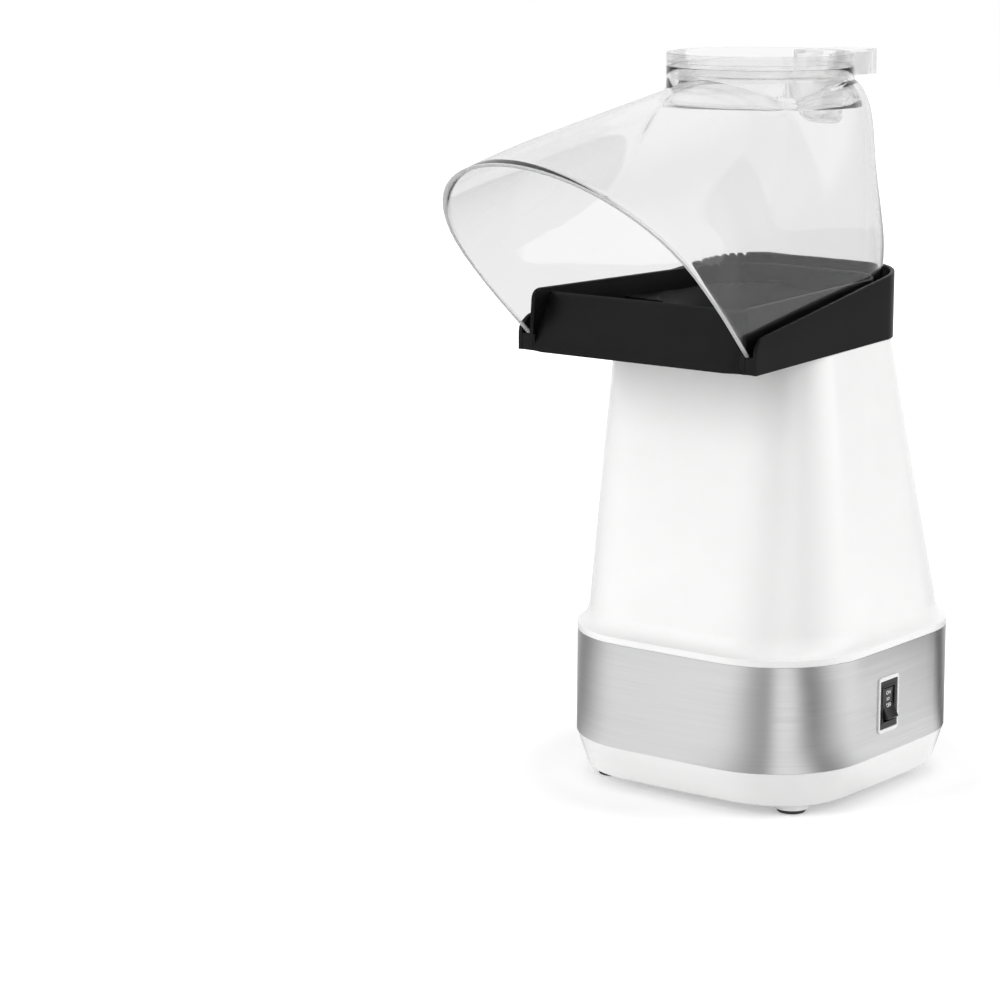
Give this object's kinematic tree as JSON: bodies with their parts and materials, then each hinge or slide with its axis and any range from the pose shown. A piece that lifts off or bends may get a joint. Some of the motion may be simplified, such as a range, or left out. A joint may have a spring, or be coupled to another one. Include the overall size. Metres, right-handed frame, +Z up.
{
  "type": "hot air popcorn maker",
  "caption": "Upright hot-air popcorn maker: white tower on a steel band, black chute tray, clear lift-off hood and clear measuring cup in its neck.",
  "frame": {"origin": "centre of the base's footprint, on the plane that the four feet stand on", "axes": "+Z up; -Y towards the chute and the open mouth of the hood; +X towards the side with the rocker switch"},
  "size_m": [0.1932, 0.3553, 0.432],
  "materials": {
    "white_gloss": "gloss",
    "steel": "brushed",
    "black_satin": "satin",
    "rubber_black": "matte",
    "bezel_grey": "satin",
    "switch_black": "satin",
    "rocker_black": "gloss",
    "tab_brass": "satin",
    "chamber_aluminium": "satin",
    "silicone_red": "matte",
    "duct_steel": "satin",
    "mica": "matte",
    "coil_wire": "matte",
    "ceramic": "matte",
    "thermostat_black": "matte",
    "fuse_sleeve": "matte",
    "housing_grey": "matte",
    "grommet_rubber": "matte",
    "bracket_steel": "satin",
    "can_zinc": "satin",
    "cap_black": "matte",
    "ferrite": "matte",
    "bronze": "satin",
    "carbon": "matte",
    "board_green": "satin",
    "diode_black": "satin",
    "gland_black": "matte",
    "lead_white": "satin",
    "screw_steel": "satin",
    "shaft_steel": "polished",
    "laminations": "satin",
    "copper_wire": "gloss",
    "commutator_copper": "satin",
    "impeller_grey": "satin",
    "clear_hood": "clear",
    "clear_cup": "clear"
  },
  "bodies": {
    "housing": {"base_pan": "white_gloss", "foot_pads": "rubber_black", "steel_band": "steel", "body_shell": "white_gloss", "chute_tray": "black_satin", "switch_bezel": "bezel_grey", "switch_body": "switch_black", "switch_terminals": "tab_brass", "popping_chamber": "chamber_aluminium", "chamber_gasket": "silicone_red", "air_duct": "duct_steel", "heater_frame": "mica", "heater_coil": "coil_wire", "heater_terminals": "ceramic", "thermostat": "thermostat_black", "thermal_fuse": "fuse_sleeve", "fan_housing": "housing_grey", "motor_grommets": "grommet_rubber", "motor_bracket": "bracket_steel", "motor_can": "can_zinc", "motor_end_cap": "cap_black", "motor_magnets": "ferrite", "motor_bearings": "bronze", "motor_brushes": "carbon", "rectifier_board": "board_green", "rectifier_diodes": "diode_black", "cord_gland": "gland_black", "lead_wires": "lead_white", "base_screws": "screw_steel", "chamber_screws": "screw_steel", "motor_screws": "screw_steel"},
    "rotor": {"motor_shaft": "shaft_steel", "armature_core": "laminations", "armature_winding": "copper_wire", "commutator": "commutator_copper", "fan_impeller": "impeller_grey", "impeller_nut": "screw_steel"},
    "rocker": {"switch_rocker": "rocker_black"},
    "hood": {"hood": "clear_hood"},
    "cup": {"measuring_cup": "clear_cup"}
  },
  "joints": [
    {"name": "fan_spin", "type": "hinge", "parent": "housing", "child": "rotor", "pos_m": [0, -0.012, 0.092], "axis": [0, 0, 1], "continuous": true},
    {"name": "rocker_swing", "type": "hinge", "parent": "housing", "child": "rocker", "pos_m": [0.0925, -0.0095, 0.0578], "axis": [0, 1, 0], "range_deg": [0, 24]},
    {"name": "hood_lift", "type": "slide", "parent": "housing", "child": "hood", "axis": [0, 0, 1], "range_m": [0, 0.08]},
    {"name": "cup_lift", "type": "slide", "parent": "hood", "child": "cup", "axis": [0, 0, 1], "range_m": [0, 0.06]}
  ]
}
